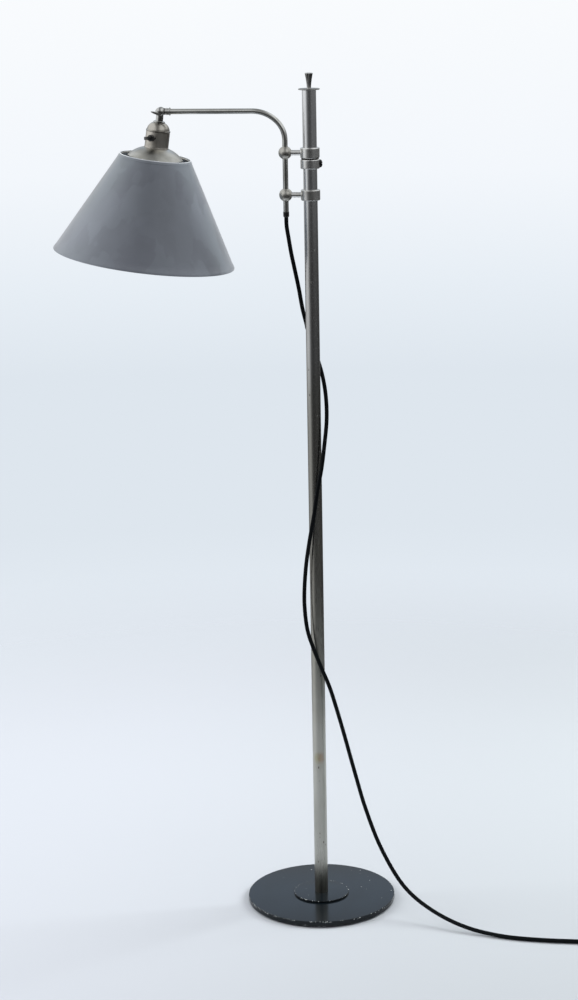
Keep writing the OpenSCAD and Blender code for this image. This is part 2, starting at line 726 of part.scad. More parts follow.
module knuckle_arm_half() {
    color(dark_nickel) translate([-pivot_reach, 0, arm_z]) difference() {
        union() {
            translate([0, disc_gap, 0]) rotate([-90, 0, 0]) soft_disc(disc_r, disc_t, disc_edge);
            translate([neck_start - neck_clear / 2, 0, 0]) rotate([0, 90, 0])
                cylinder(r = neck_r - groove_in, h = groove_w + neck_clear);
            translate([rib_x, 0, 0]) rotate([0, 90, 0]) cylinder(r = neck_r, h = ferrule_l - rib_x);
            translate([rib_x, 0, 0]) rotate([0, 90, 0]) soft_disc(neck_r + rib_out, rib_w, rib_edge);
            translate([ferrule_l - bead_w, 0, 0]) rotate([0, 90, 0])
                soft_disc(bead_d / 2, bead_w, bead_w * 0.4);
            intersection() {
                rotate([0, 90, 0]) cylinder(r = neck_r, h = neck_start);
                translate([0, disc_gap, -disc_r]) cube([neck_start + cut, disc_d, disc_d]);
            }
        }
        translate([ferrule_l - tube_grip, 0, 0]) rotate([0, 90, 0])
            cylinder(r = arm_r + fit, h = tube_grip + cut);
        translate([0, -cut, 0]) rotate([-90, 0, 0])
            cylinder(r = clamp_r + fit, h = disc_t + disc_gap + 2 * cut);
    }
}
module friction_washer() {
    color([0.20, 0.17, 0.15]) translate([-pivot_reach, -friction_t / 2, arm_z]) rotate([-90, 0, 0]) difference() {
        cylinder(r = disc_r - washer_inset, h = friction_t);
        translate([0, 0, -cut]) cylinder(r = clamp_r + fit, h = friction_t + 2 * cut);
    }
}
module clamp_lever_screw() {
    color(dark_nickel) translate([-pivot_reach, 0, arm_z]) {
        translate([0, clamp_face, 0]) rotate([-90, 0, 0])
            cylinder(r = clamp_r, h = disc_t + disc_gap - clamp_face + clamp_end);
        translate([0, clamp_face, 0]) rotate([90, 0, 0]) domed_head(clamp_head_d / 2, clamp_head_h);
        translate([lever_x, clamp_face - lever_sink, lever_z]) rotate([90, 0, 0]) rotate([0, 0, -lever_tilt])
            lens(lever_l, lever_t, lever_w);
    }
}

// Puts a piece of the head, drawn round the pivot with its axis down -Z, in its tilted place
module head() {
    translate([-pivot_reach, 0, arm_z]) rotate([0, head_tilt, 0]) children();
}
module knuckle_head_half() {
    color(dark_nickel) head() difference() {
        union() {
            translate([0, -disc_gap, 0]) rotate([90, 0, 0]) soft_disc(disc_r, disc_t, disc_edge);
            translate([0, 0, -holder_top]) cylinder(r = hub_neck_r, h = holder_top - neck_start);
            intersection() {
                translate([0, 0, -neck_start - cut]) cylinder(r = hub_neck_r, h = neck_start + cut);
                translate([-disc_r, -disc_gap - disc_d, -neck_start - cut])
                    cube([disc_d, disc_d, neck_start + cut]);
            }
            translate([0, 0, -holder_top]) rotate_extrude() polygon([
                [0, 0], [flange_d / 2, 0], [flange_d / 2, flange_t * 0.45],
                [flange_d / 2 - flange_edge, flange_t * 0.8], [hub_neck_r + flange_edge / 2, flange_t],
                [0, flange_t]]);
            translate([0, 0, -holder_top - nipple_l]) cylinder(r = nipple_r - fit, h = nipple_l + cut);
        }
        translate([0, 0, -holder_top - nipple_l - cut])
            cylinder(d = nipple_bore, h = nipple_l + nipple_bore - cut);
        translate([0, cut, 0]) rotate([90, 0, 0]) cylinder(r = clamp_r + fit, h = disc_t + disc_gap + 2 * cut);
    }
}
module nipple_nut() {
    color([0.62, 0.55, 0.35]) head() translate([0, 0, -holder_top - holder_wall - seat - nut_t]) difference() {
        cylinder(d = nipple_d * 1.5, h = nut_t, $fn = 6);
        translate([0, 0, -cut]) cylinder(r = nipple_r, h = nut_t + 2 * cut);
    }
}
module holder_cap() {
    cx = cap_r - cap_round;
    top = -holder_top;
    bead_r = holder_r + cap_bead;
    outer = asin(holder_cap_h / cap_round);
    inner_r = cap_round - holder_wall;
    inner = asin((holder_cap_h - holder_wall) / inner_r);
    color(pale_nickel) head() rotate_extrude() polygon(concat(
        [[nipple_r, top]],
        arc(cx, -seam_h, cap_round, outer, asin(cap_bead_h / cap_round), 2 * arc_steps),
        [[bead_r, -seam_h + 0.7 * cap_bead_h], [bead_r, -seam_h + 0.2 * cap_bead_h],
         [bead_r - cap_bead / 2, -seam_h]],
        arc(cx, -seam_h, inner_r, 0, inner, 2 * arc_steps),
        [[nipple_r, top - holder_wall]]));
}
module holder_shell() {
    lap_r = cap_r - holder_wall - shell_gap;
    color(pale_nickel) head() difference() {
        rotate_extrude() polygon([
            [lap_r, -shell_top + shell_lap], [lap_r, -shell_top], [holder_r - shell_edge, -shell_top],
            [holder_r, -shell_top - shell_edge], [holder_r, -shell_low + foot_bead_h + foot_bead],
            [holder_r + foot_bead, -shell_low + foot_bead_h], [holder_r + foot_bead, -shell_low],
            [holder_r - holder_wall, -shell_low], [holder_r - holder_wall, -shell_top - 2 * holder_wall],
            [lap_r - holder_wall, -shell_top - holder_wall], [lap_r - holder_wall, -shell_top + shell_lap]]);
        key_axis() cylinder(r = key_bush_r + fit, h = holder_d);
    }
}
// The line of the switch key: +Z points outwards, from the holder's axis
module key_axis() {
    translate([0, 0, -key_h]) rotate([90, 0, -key_angle]) children();
}
module holder_core() {
    color([0.10, 0.09, 0.09]) head() difference() {
        rotate_extrude() polygon([
            [0, -core_top], [core_r, -core_top], [core_r, -shell_low + core_edge], [skirt_r, -shell_low],
            [skirt_r, -skirt_low], [core_bore_r, -skirt_low], [core_bore_r, -core_floor], [0, -core_floor]]);
        key_axis() translate([0, 0, key_root - seat]) cylinder(r = key_bush_r + fit, h = holder_d);
        for (s = [-1, 1]) translate([s * lead_hole, lead_hole, -core_floor - cut])
            cylinder(r = lead_d / 2 + cavity_pad, h = core_floor - core_top + 2 * cut);
    }
}
module contact_shell() {
    color(brass) head() translate([0, 0, -contact_low]) difference() {
        cylinder(r = contact_r, h = contact_low - contact_top);
        translate([0, 0, -cut]) cylinder(r = contact_r - contact_wall, h = contact_low - contact_top + 2 * cut);
    }
}
module centre_contact() {
    color(brass) head() translate([0, leaf_w / 2, -core_floor - seat]) rotate([90, 0, 0])
        linear_extrude(leaf_w) polygon([
            [-0.7 * leaf_l, 0], [-0.1 * leaf_l, 0], [0.3 * leaf_l, -leaf_dip],
            [0.3 * leaf_l, -leaf_dip - leaf_t], [-0.12 * leaf_l, -leaf_t], [-0.7 * leaf_l, -leaf_t]]);
}
module switch_bush() {
    color(phenolic) head() key_axis() translate([0, 0, key_root]) difference() {
        cylinder(r = key_bush_r, h = key_out - key_root);
        translate([0, 0, -cut]) cylinder(r = key_spindle_r + fit, h = key_out - key_root + 2 * cut);
    }
}
module switch_key() {
    color(phenolic) head() key_axis() rotate([0, 0, -key_turn]) {
        translate([0, 0, key_root + seat]) cylinder(r = key_spindle_r, h = key_out - key_root + key_wing_w / 2);
        translate([0, 0, key_out + seat]) cylinder(r = key_hub_r, h = key_hub_l);
        intersection() {
            translate([0, 0, key_out + seat]) linear_extrude(key_wing_w + cut) {
                square([key_wing_l - key_wing_t, key_web_t], center = true);
                for (s = [-1, 1]) translate([s * (key_wing_l - key_wing_t) / 2, 0]) circle(d = key_wing_t);
            }
            translate([0, key_wing_t, key_out + seat + key_wing_w - key_wing_round]) rotate([90, 0, 0])
                cylinder(r = key_wing_round, h = 2 * key_wing_t);
        }
    }
}

module dome_fitter() {
    arc_x = flat_r - dome_curve * sin(dome_slope);
    arc_z = -fitter_top - dome_curve * cos(dome_slope);
    rim_low = -fitter_top - dome_drop - dome_rim;
    inner = dome_curve - dome_wall;
    inner_end = acos((dome_r - dome_wall - arc_x) / inner);
    color(pale_nickel) head() rotate_extrude() polygon(concat(
        [[skirt_r + fit, -fitter_top]],
        arc(arc_x, arc_z, dome_curve, 90 - dome_slope, 90 - dome_end, 3 * arc_steps),
        [[dome_r, rim_low], [dome_r - dome_wall, rim_low]],
        arc(arc_x, arc_z, inner, inner_end, 90 - dome_slope, 3 * arc_steps),
        [[skirt_r + fit, -fitter_top - dome_wall]]));
}
module shade_ring_nut() {
    color(phenolic) head() translate([0, 0, -nut_top - nut_h])
        edged_ring(nut_r, skirt_r + fit, nut_h, nut_edge);
}
// A round wire ring of radius r, at distance h below the pivot
module wire_ring(r, h) {
    translate([0, 0, -h]) rotate_extrude() translate([r, 0]) circle(r = wire_r, $fn = 32);
}
// A straight wire in the XZ plane between two points given as [radius, distance below the pivot]
module wire(a, b) {
    d = b - a;
    translate([a[0], 0, -a[1]]) rotate([0, 90 + atan2(d[1], d[0]), 0]) cylinder(r = spoke_r, h = norm(d));
}
module shade_carrier() {
    root = [spoke_root_r, spoke_root_h];
    bend = [spoke_bend_r, spoke_low];
    tip = [top_ring_r, top_ring_h];
    color(tinned_wire) head() {
        translate([0, 0, -hub_top - hub_h]) difference() {
            cylinder(r = hub_r, h = hub_h);
            translate([0, 0, -cut]) cylinder(r = skirt_r + fit, h = hub_h + 2 * cut);
        }
        wire_ring(top_ring_r, top_ring_h);
        for (i = [0:spokes - 1]) rotate([0, 0, 90 + 360 * i / spokes]) {
            wire(root, bend);
            translate([bend[0], 0, -bend[1]]) sphere(r = spoke_bend_ball);
            wire(bend, tip);
        }
    }
}
module shade_low_ring() {
    color(tinned_wire) head() wire_ring(low_ring_r, low_ring_h);
}
module shade() {
    color([0.52, 0.54, 0.58]) head() rotate_extrude($fn = 180) polygon([
        [shade_top_r - wall_across, -shade_top_h], [shade_top_r, -shade_top_h],
        [shade_low_r, -shade_low_h], [shade_low_r - wall_across, -shade_low_h]]);
}
module bulb_cap() {
    color([0.75, 0.74, 0.70]) head() rotate_extrude() polygon([
        [0, -bulb_tip], [bulb_tip_r - bulb_edge, -bulb_tip], [bulb_tip_r, -bulb_tip - bulb_edge],
        [bulb_cone_r, -bulb_cap_top + 2 * bulb_edge], [bulb_cap_r, -bulb_cap_top - bulb_edge],
        [bulb_cap_r, -bulb_neck + seat], [0, -bulb_neck + seat]]);
}
module bulb_glass() {
    inner = bulb_r - bulb_wall;
    color([0.93, 0.92, 0.88]) head() rotate_extrude() polygon(concat(
        [[bulb_neck_r, -bulb_neck]],
        arc(0, -bulb_z, bulb_r, 90 - bulb_turn, -90, 4 * arc_steps),
        arc(0, -bulb_z, inner, -90, 90 - bulb_turn, 4 * arc_steps),
        [[bulb_neck_r - bulb_wall, -bulb_neck]]));
}

// The two free stretches of the cord. A ring's first corner looks up where the cord lies, and forward elsewhere.
down = [0, 0, -1];
split_way = unit([13, 4, -36]);
start_upper = concat([bushing_exit], route_upper, [split]);
start_lower = concat([split], route_lower, [[coil_x - tail, coil_y - coil_r, coil_z]]);
upper_points = fine_route(start_upper, start_upper[0] + [0, 0, -18], split + split_way * 30);
lower_points = fine_route(start_lower, split + split_way * 36, start_lower[len(start_lower) - 1] + [50, 0, 0]);
lay_side = [0, -1, 0];
module cord_upper() {
    color(rubber)
        sweep(upper_points, cord_r, cord_sides, down, split_way, [for (p = upper_points) lay_side]);
}
module cord_lower() {
    color(rubber)
        sweep(lower_points, cord_r, cord_sides, split_way, [1, 0, 0], [for (p = lower_points) lay_side]);
}

// The coil's middle line at turned angle a, from its start on the floor to its end on top
function coil_at(a) = let (
    half = coil_arc / 2,
    r = coil_in + coil_step * abs(a - half) / 360,
    climb = min(1, max(0, (a - half + 90) / 180)),
    z = coil_z + coil_step * climb)
    [coil_x + r * cos(a - 90), coil_y + r * sin(a - 90), z];
coil_points = concat(
    [coil_at(0) - [tail, 0, 0]],
    [for (i = [0:coil_rings]) coil_at(coil_arc * i / coil_rings)],
    [coil_at(coil_arc) + [0, tail, 0]]);
// Least gap of the coil to itself, past the half turn that follows each point
coil_self_gap = min([for (i = [0:2:coil_rings], j = [i + coil_loop / 2:coil_rings])
    norm(coil_points[i + 1] - coil_points[j + 1])]) - cord_d;
echo(coil_self_gap = coil_self_gap, coil_length = total_length(coil_points),
     free_length = total_length(upper_points) + total_length(lower_points));
module cord_coil() {
    color(rubber)
        sweep(coil_points, cord_r, coil_sides, [1, 0, 0], [0, 1, 0], [for (p = coil_points) [0, 0, 1]]);
}

// The plug lies beside the coil: its +Z is drawn along +Y, from the cord's end outwards
module plug_place() {
    translate([coil_x + coil_r, plug_y, coil_high]) rotate([-90, 0, 0]) children();
}
module plug_relief() {
    color(phenolic) plug_place() rotate_extrude() polygon(concat(
        [[0, 0], [relief_tip_r, 0]],
        [for (i = [1:relief_ribs]) each let (
            t = i / (relief_ribs + 1), r = relief_tip_r + (relief_root_r - relief_tip_r) * t, g = relief_groove)
            [[r, t * relief_l - 1.7 * g], [r - g, t * relief_l - g], [r - g, t * relief_l + g],
             [r, t * relief_l + 1.7 * g]]],
        [[relief_root_r, relief_l], [0, relief_l]]));
}
module plug_body() {
    color(phenolic) plug_place() translate([0, 0, relief_l]) difference() {
        intersection() {
            rotate_extrude() polygon(concat([[0, 0], [relief_root_r + plug_edge, 0]],
                arc(plug_r - plug_shoulder, plug_shoulder + 2, plug_shoulder, -60, 0),
                [[plug_r, plug_l - plug_edge], [plug_r - plug_edge, plug_l], [0, plug_l]]));
            translate([-plug_w, -coil_high, -cut]) cube([2 * plug_w, 2 * coil_high, plug_l + 2 * cut]);
        }
        for (s = [-1, 1]) translate([s * pin_gap / 2, 0, plug_l - pin_seat])
            cylinder(r = pin_root_r + fit, h = pin_seat + cut);
    }
}
module plug_pins() {
    color([0.78, 0.77, 0.74]) plug_place() for (s = [-1, 1])
        translate([s * pin_gap / 2, 0, relief_l + plug_l + fit]) {
            translate([0, 0, fit - pin_seat]) cylinder(r = pin_root_r, h = pin_seat);
            cylinder(r = pin_r, h = pin_l - pin_r);
            translate([0, 0, pin_l - pin_r]) sphere(r = pin_r);
        }
}

base_plate();
boss_disc();
felt_pad();
pole_spigot();
base_screw();
pole();
pole_top_plug();
cap_disc();
finial();
stop_collar();
stop_screw();
fibre_washer();
ring_upper();
ring_lower();
stub_upper();
stub_lower();
ball_upper();
ball_lower();
grub_screws();
arm_tube();
arm_leads();
cord_bushing();
knuckle_arm_half();
friction_washer();
clamp_lever_screw();
knuckle_head_half();
nipple_nut();
holder_cap();
holder_shell();
holder_core();
contact_shell();
centre_contact();
switch_bush();
switch_key();
dome_fitter();
shade_ring_nut();
shade_carrier();
shade_low_ring();
shade();
bulb_cap();
bulb_glass();
cord_upper();
cord_lower();
cord_coil();
plug_relief();
plug_body();
plug_pins();
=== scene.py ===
"""The looks of the bridge floor lamp: camera, cord, finishes, light, and pieces finer than the CAD solids.

Everything is in metres, in the part's own frame: +Z up, the arm towards -X, the viewer on the -Y side.
"""
import json
import math
import bmesh
import bpy
from mathutils import Matrix, Vector


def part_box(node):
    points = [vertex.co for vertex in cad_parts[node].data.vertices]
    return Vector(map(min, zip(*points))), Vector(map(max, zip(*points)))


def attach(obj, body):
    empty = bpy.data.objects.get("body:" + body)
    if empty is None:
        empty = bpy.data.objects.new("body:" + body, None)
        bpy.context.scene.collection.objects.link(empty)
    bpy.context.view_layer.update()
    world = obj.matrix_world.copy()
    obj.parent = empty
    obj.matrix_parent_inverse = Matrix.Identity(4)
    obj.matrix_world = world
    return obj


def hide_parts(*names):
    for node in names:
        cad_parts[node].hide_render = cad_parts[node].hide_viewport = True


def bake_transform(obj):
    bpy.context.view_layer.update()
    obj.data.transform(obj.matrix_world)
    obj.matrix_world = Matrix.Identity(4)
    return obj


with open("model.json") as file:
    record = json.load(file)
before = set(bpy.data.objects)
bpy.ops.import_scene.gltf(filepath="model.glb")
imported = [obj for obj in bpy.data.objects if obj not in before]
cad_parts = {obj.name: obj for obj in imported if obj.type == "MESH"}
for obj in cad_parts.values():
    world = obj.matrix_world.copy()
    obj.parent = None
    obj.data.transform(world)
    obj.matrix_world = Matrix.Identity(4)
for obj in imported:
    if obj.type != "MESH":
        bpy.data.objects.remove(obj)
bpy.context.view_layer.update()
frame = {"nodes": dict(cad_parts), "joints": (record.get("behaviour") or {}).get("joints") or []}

MM = 0.001
NODES = frame["nodes"]
JOINTS = {joint["name"]: joint for joint in frame["joints"]}

# ---------------------------------------------------------------- camera
VIEW_SIDE = 8.5          # degrees that the camera stands round the lamp, from -Y towards +X
VIEW_DISTANCE = 3.774    # from the pole's axis
VIEW_HEIGHT = 1.633
VIEW_PITCH = 13.97       # degrees down
VIEW_YAW = 0.65          # degrees to the left of the pole's axis
VIEW_ROLL = 1.06         # degrees clockwise
VIEW_LENS = 86.33        # mm
VIEW_SENSOR = 36         # mm, along the picture's height
VIEW_CLIP = (0.1, 60)


def make_camera():
    data = bpy.data.cameras.new("camera")
    data.lens, data.sensor_width = VIEW_LENS, VIEW_SENSOR
    data.clip_start, data.clip_end = VIEW_CLIP
    camera = bpy.data.objects.new("camera", data)
    side = math.radians(VIEW_SIDE)
    camera.matrix_world = (
        Matrix.Translation((VIEW_DISTANCE * math.sin(side), -VIEW_DISTANCE * math.cos(side), VIEW_HEIGHT))
        @ Matrix.Rotation(math.radians(VIEW_SIDE + VIEW_YAW), 4, "Z")
        @ Matrix.Rotation(math.radians(90 - VIEW_PITCH), 4, "X")
        @ Matrix.Rotation(math.radians(-VIEW_ROLL), 4, "Z"))
    bpy.context.scene.collection.objects.link(camera)
    bpy.context.scene.camera = camera


# ---------------------------------------------------------------- meshes
def new_mesh(name, points, faces, sharp=40):
    """A mesh object with smooth faces, and edges sharper than the angle, in degrees, left crisp."""
    mesh = bpy.data.meshes.new(name)
    mesh.from_pydata([tuple(p) for p in points], [], faces)
    mesh.validate()
    outward = bmesh.new()
    outward.from_mesh(mesh)
    bmesh.ops.recalc_face_normals(outward, faces=outward.faces)
    outward.to_mesh(mesh)
    outward.free()
    mesh.shade_smooth()
    mesh.set_sharp_from_angle(angle=math.radians(sharp))
    made = bpy.data.objects.new(name, mesh)
    bpy.context.scene.collection.objects.link(made)
    return made


def arc(x, y, radius, start, end, steps=8):
    """Points on an arc round (x, y), angles in degrees."""
    angles = [math.radians(start + (end - start) * i / steps) for i in range(steps + 1)]
    return [(x + radius * math.cos(a), y + radius * math.sin(a)) for a in angles]


def even_angles(steps):
    """The angles of a full turn in even steps, from +X on."""
    return [2 * math.pi * k / steps for k in range(steps)]


def lathe(name, outline, angles, sharp, place=Matrix(), shape=None):
    """Turns an outline of (radius, height) round Z. shape(radius, height, angle) may move its points."""
    points, rings = [], []
    for radius, height in outline:
        if radius == 0:
            rings.append([len(points)])
            points.append(place @ Vector((0, 0, height)))
            continue
        rings.append(list(range(len(points), len(points) + len(angles))))
        for angle in angles:
            r, z = shape(radius, height, angle) if shape else (radius, height)
            points.append(place @ Vector((r * math.cos(angle), r * math.sin(angle), z)))
    faces = []
    for a, b in zip(rings, rings[1:] + rings[:1]):
        if len(a) == 1 and len(b) == 1:
            continue
        for k in range(len(angles)):
            j = (k + 1) % len(angles)
            corners = [a[k % len(a)], a[j % len(a)], b[j % len(b)], b[k % len(b)]]
            faces.append(list(dict.fromkeys(corners)))
    return new_mesh(name, points, faces, sharp)


def smooth_point(a, b, c, d, t):
    """A point on the smooth curve through b and c, at share t of the way."""
    bend = (2 * a - 5 * b + 4 * c - d) * t ** 2
    sway = (3 * b - a - 3 * c + d) * t ** 3
    return 0.5 * (2 * b + (c - a) * t + bend + sway)


def smooth_route(points, first, last, steps):
    """A smooth curve through the points, in steps pieces from each to the next.

    What bends its two ends is first and last, each mirrored in the end that it belongs to.
    """
    p = [2 * points[0] - first] + points + [2 * points[-1] - last]
    fine = [smooth_point(*p[i:i + 4], k / steps) for i in range(len(p) - 3) for k in range(steps)]
    return fine + [points[-1]]


def tube(name, path, radius, sides=16):
    """A closed round tube along path. Its first corner keeps pointing as nearly to the viewer as it can."""
    side = Vector((0, -1, 0))
    points, faces = [], []
    for i, centre in enumerate(path):
        way = (path[min(i + 1, len(path) - 1)] - path[max(i - 1, 0)]).normalized()
        side = (side - side.dot(way) * way).normalized()
        up = way.cross(side)
        points += [centre + radius * (math.cos(a) * side + math.sin(a) * up) for a in even_angles(sides)]
    for i in range(len(path) - 1):
        for k in range(sides):
            j = (k + 1) % sides
            faces.append([i * sides + k, i * sides + j, (i + 1) * sides + j, (i + 1) * sides + k])
    last = (len(path) - 1) * sides
    faces += [list(range(sides))[::-1], list(range(last, last + sides))]
    return new_mesh(name, points, faces)


# ---------------------------------------------------------------- cord
# The routes are in millimetres, with the points that the part's source has.
CORD_D = 6.6 * MM
BUSHING_EXIT = (-39.4, 0, 1152.95)
ROUTE_UPPER = [
    (-39, 0, 1138), (-36, -2, 1120), (-32, -3, 1096), (-27, 0, 1068), (-22, 5, 1038), (-18, 12, 1006)]
SPLIT = (-12, 18, 974)   # where the arm's twist of the cord ends
ROUTE_LOWER = [
    (-1, 20, 938), (11, 17, 900), (18, 10, 864), (20, 2, 826), (17, -7, 786), (13, -14, 750),
    (6, -18, 712), (0, -19, 672), (-8, -17, 630), (-15, -12, 588), (-19, -9, 546), (-19, -10, 512),
    (-14, -15, 476), (-3, -19, 444), (9, -18, 412), (23, -15, 374), (42, -14, 306), (60, -16, 238),
    (80, -20, 169), (107, -30, 104), (146, -52, 50), (195, -80, 22), (254, -110, 8),
    (318, -129, 3.5), (380, -135, 3.5), (440, -134, 3.5)]
EXIT_WAY = Vector((0, 0, -18)) * MM
SPLIT_WAY = Vector((13, 4, -36)).normalized() * 36 * MM
FLOOR_WAY = Vector((50, 0, 0)) * MM
ROUTE_STEPS = 6          # pieces between two points of the route
FLOOR_GAP = 0.1 * MM     # least space between the cord and the floor
COIL_X, COIL_Y, COIL_R = 500 * MM, -89 * MM, 45 * MM
COIL_STEP = 7.1 * MM     # from one turn's middle to the next, and from layer to layer
COIL_Z = 3.5 * MM
COIL_TURNS = 5.25
COIL_LOOP = 32           # pieces in one turn


def metres(points):
    return [Vector(p) * MM for p in points]


def coil_point(turn):
    """The coil's middle line: it spirals in on the floor, climbs one layer and spirals out again."""
    half = COIL_TURNS / 2
    radius = COIL_R - COIL_STEP * (half - abs(turn - half))
    climb = min(1, max(0, (turn - half + 0.25) * 2))
    angle = 2 * math.pi * (turn - 0.25)
    return Vector((COIL_X + radius * math.cos(angle),
                   COIL_Y + radius * math.sin(angle),
                   COIL_Z + COIL_STEP * climb))


def upper_path():
    """From the bushing down to the split."""
    points = metres([BUSHING_EXIT] + ROUTE_UPPER + [SPLIT])
    return smooth_route(points, points[0] + EXIT_WAY, points[-1] + SPLIT_WAY, ROUTE_STEPS)


def lower_path():
    """From the split down round the pole, over the floor, through the coil and into the plug's relief."""
    coil_start = coil_point(0) - Vector((CORD_D, 0, 0))
    points = metres([SPLIT] + ROUTE_LOWER) + [coil_start]
    path = smooth_route(points, points[0] + SPLIT_WAY, coil_start + FLOOR_WAY, ROUTE_STEPS)
    for point in path:
        point.z = max(point.z, CORD_D / 2 + FLOOR_GAP)
    pieces = round(COIL_TURNS * COIL_LOOP)
    path += [coil_point(COIL_TURNS * i / pieces) for i in range(pieces + 1)]
    return path + [path[-1] + Vector((0, CORD_D, 0))]


def make_cords():
    """The stretch that the arm twists and lifts, and the rest of the cord with its coil."""
    upper = upper_path()
    lower = lower_path()
    cord_upper = tube("cord_upper_sheath", upper, CORD_D / 2)
    cord_lower = tube("cord_lower_sheath", lower, CORD_D / 2)
    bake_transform(cord_upper)
    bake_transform(cord_lower)
    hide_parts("cord_upper")
    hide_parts("cord_lower", "cord_coil")
    return [cord_upper, cord_lower]


make_camera()
cords = make_cords()


# ---------------------------------------------------------------- node graphs
def srgb(red, green, blue):
    """A colour given in display values from 0 to 255, as the linear colour that shaders take."""
    return tuple(((v / 255 + 0.055) / 1.055) ** 2.4 if v > 10 else v / 255 / 12.92
                 for v in (red, green, blue)) + (1,)


class Graph:
    """Short names for the nodes of one material or world."""

    def __init__(self, owner):
        owner.use_nodes = True
        self.tree = owner.node_tree
        self.place = None

    def add(self, kind, inputs=None, **settings):
        """A new node, with its settings and with what its inputs take."""
        made = self.tree.nodes.new("ShaderNode" + kind)
        for key, value in settings.items():
            setattr(made, key, value)
        for key, value in (inputs or {}).items():
            self.give(made.inputs[key], value)
        return made

    def give(self, socket, value):
        """Links an input to another node's output, or sets its value."""
        if isinstance(value, bpy.types.NodeSocket):
            self.tree.links.new(value, socket)
        else:
            socket.default_value = value

    def math(self, operation, *values):
        return self.add("Math", dict(enumerate(values)), operation=operation).outputs[0]

    def chain(self, operation, total, *others):
        """One operation that takes in the values one after another."""
        for other in others:
            total = self.math(operation, total, other)
        return total

    def plus(self, *values):
        return self.chain("ADD", *values)

    def times(self, *values):
        return self.chain("MULTIPLY", *values)

    def most(self, *values):
        return self.chain("MAXIMUM", *values)

    def rest(self, share):
        """What a share leaves of 1."""
        return self.math("SUBTRACT", 1.0, share)

    def away(self, value, middle):
        """How far a value is from middle, to either side."""
        return self.math("ABSOLUTE", self.math("SUBTRACT", value, middle))

    def dot(self, a, b):
        return self.add("VectorMath", {0: a, 1: b}, operation="DOT_PRODUCT").outputs["Value"]

    def distance(self, a, b):
        return self.add("VectorMath", {0: a, 1: b}, operation="DISTANCE").outputs["Value"]

    def scaled(self, scale, vector=None):
        """Coordinates times a scale for each axis."""
        return self.add("Mapping", {"Vector": vector or self.place, "Scale": scale}).outputs[0]

    def axes(self, vector=None):
        return self.add("SeparateXYZ", {0: vector or self.place}).outputs

    def radius(self):
        """The distance from the pole's axis."""
        x, y = self.axes()[:2]
        return self.math("SQRT", self.plus(self.times(x, x), self.times(y, y)))

    def noise(self, scale, detail, vector=None, warp=0.0):
        return self.add("TexNoise", {"Vector": vector or self.place, "Scale": scale, "Detail": detail,
                                     "Roughness": 0.55, "Distortion": warp}).outputs["Fac"]

    def band(self, value, low, high):
        """0 at low, 1 at high, and smooth between."""
        return self.add("MapRange", {"Value": value, "From Min": low, "From Max": high},
                        interpolation_type="SMOOTHSTEP").outputs[0]

    def range(self, value, low, high):
        """A share from 0 to 1 as a number from low to high."""
        return self.add("MapRange", {"Value": value, "To Min": low, "To Max": high}).outputs[0]

    def mix(self, share, a, b):
        made = self.add("Mix", data_type="RGBA")
        self.give(made.inputs[0], share)
        self.give(made.inputs[6], a)
        self.give(made.inputs[7], b)
        return made.outputs[2]

    def shade(self, share, first, second):
        """From one colour to another, both in display values."""
        return self.mix(share, srgb(*first), srgb(*second))

    def tint(self, colour, share, display, strength=1.0):
        """The colour, drawn by share times strength towards another in display values."""
        return self.mix(self.times(share, strength), colour, srgb(*display))

    def specks(self, scale, size, share, vector=None):
        """1 in small round spots: scale cells a metre, of which a share has a spot of that size in cells."""
        cells = self.add("TexVoronoi", {"Vector": vector or self.place, "Scale": scale})
        chosen = self.math("LESS_THAN", self.axes(cells.outputs["Color"])[0], share)
        near = self.band(cells.outputs["Distance"], size, size * 0.6)
        return self.times(chosen, near)


class Finish(Graph):
    """A node material, built up from its principled shader."""

    def __init__(self, name, **shader):
        self.material = bpy.data.materials.new(name)
        super().__init__(self.material)
        self.shader = self.tree.nodes["Principled BSDF"]
        self.place = self.add("TexCoord").outputs["Object"]
        self.normal = None
        self.set(**shader)

    def set(self, **values):
        for key, value in values.items():
            self.give(self.shader.inputs[key.replace("_", " ")], value)

    def bump(self, height, distance, strength):
        inputs = {"Height": height, "Distance": distance, "Strength": strength}
        if self.normal:
            inputs["Normal"] = self.normal
        self.normal = self.add("Bump", inputs).outputs[0]
        self.set(Normal=self.normal)


# ---------------------------------------------------------------- sizes that finishes and pieces share
BASE_LOW, BASE_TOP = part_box("base_plate")[0].z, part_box("base_plate")[1].z
BASE_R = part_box("base_plate")[1].x
BOSS_TOP, BOSS_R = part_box("boss_disc")[1].z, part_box("boss_disc")[1].x
POLE_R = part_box("pole")[1].x

# The shade's heights run down the lampholder's axis, from the knuckle's pivot.
SHADE_TOP_R, SHADE_LOW_R = 56.2 * MM, 145.5 * MM
SHADE_TOP_H, SHADE_H = 71 * MM, 163 * MM
SHADE_LOW_H = SHADE_TOP_H + SHADE_H
PIVOT = Vector(JOINTS["shade_tilt"]["pos_m"])
HEAD_TILT = math.radians(8.3)
HEAD = Matrix.Translation(PIVOT) @ Matrix.Rotation(HEAD_TILT, 4, "Y")


# ---------------------------------------------------------------- finishes
def head_axes(f):
    """Coordinates with their origin at the knuckle's pivot and -Z down the lampholder's axis."""
    return f.add("Mapping", {"Vector": f.place, "Location": PIVOT, "Rotation": (0, HEAD_TILT, 0)},
                 vector_type="TEXTURE").outputs[0]


